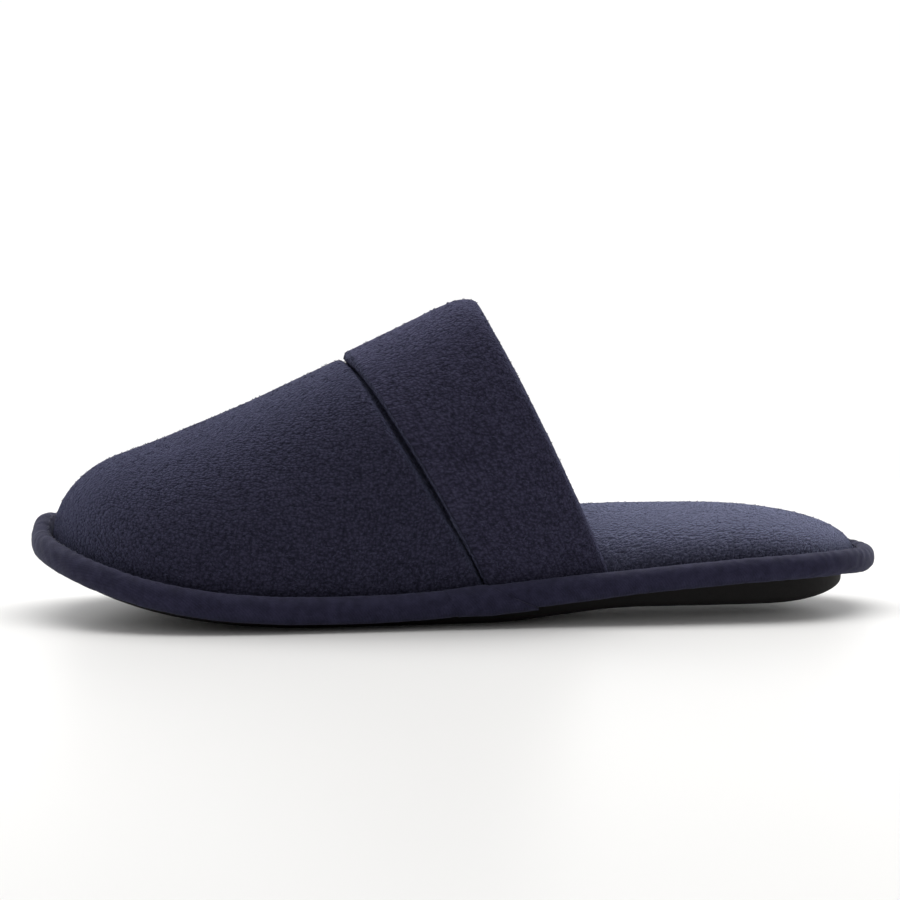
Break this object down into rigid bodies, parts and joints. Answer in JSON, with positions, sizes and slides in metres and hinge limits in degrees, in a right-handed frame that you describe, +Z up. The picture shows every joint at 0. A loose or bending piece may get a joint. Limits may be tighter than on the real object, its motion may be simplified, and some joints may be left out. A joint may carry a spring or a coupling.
{
  "type": "spa slipper",
  "caption": "Closed-toe, open-back terry slipper: padded vamp with a folded cuff, cushioned footbed, bound edge and moulded outsole.",
  "frame": {"origin": "on the floor under the middle of the slipper's bounding box", "axes": "+Z up, -X towards the toe, +X towards the heel, -Y towards the outer (lateral) side of a left foot"},
  "size_m": [0.2899, 0.1104, 0.1062],
  "materials": {
    "terry": "navy cotton terry, looped pile",
    "bias_tape": "navy woven bias tape, smooth",
    "filler": "twisted cotton filler cord",
    "outsole_rubber": "black moulded sole, satin",
    "backing_cloth": "black non-woven cloth",
    "board": "fibre board",
    "foam": "open-cell polyurethane foam",
    "lining": "navy brushed knit",
    "thread": "navy polyester thread"
  },
  "bodies": {
    "root": {"outsole": "outsole_rubber", "backing_cloth": "backing_cloth", "sole_board": "board", "footbed_foam": "foam", "footbed_cover": "terry", "binding_tape": "bias_tape", "binding_lap": "bias_tape", "binding_filler_cord": "filler", "vamp_terry": "terry", "vamp_foam": "foam", "vamp_lining": "lining", "cuff_terry": "terry", "cuff_foam": "foam", "cuff_seam_thread": "thread", "edge_needle_thread": "thread", "edge_bobbin_thread": "thread"}
  },
  "joints": []
}
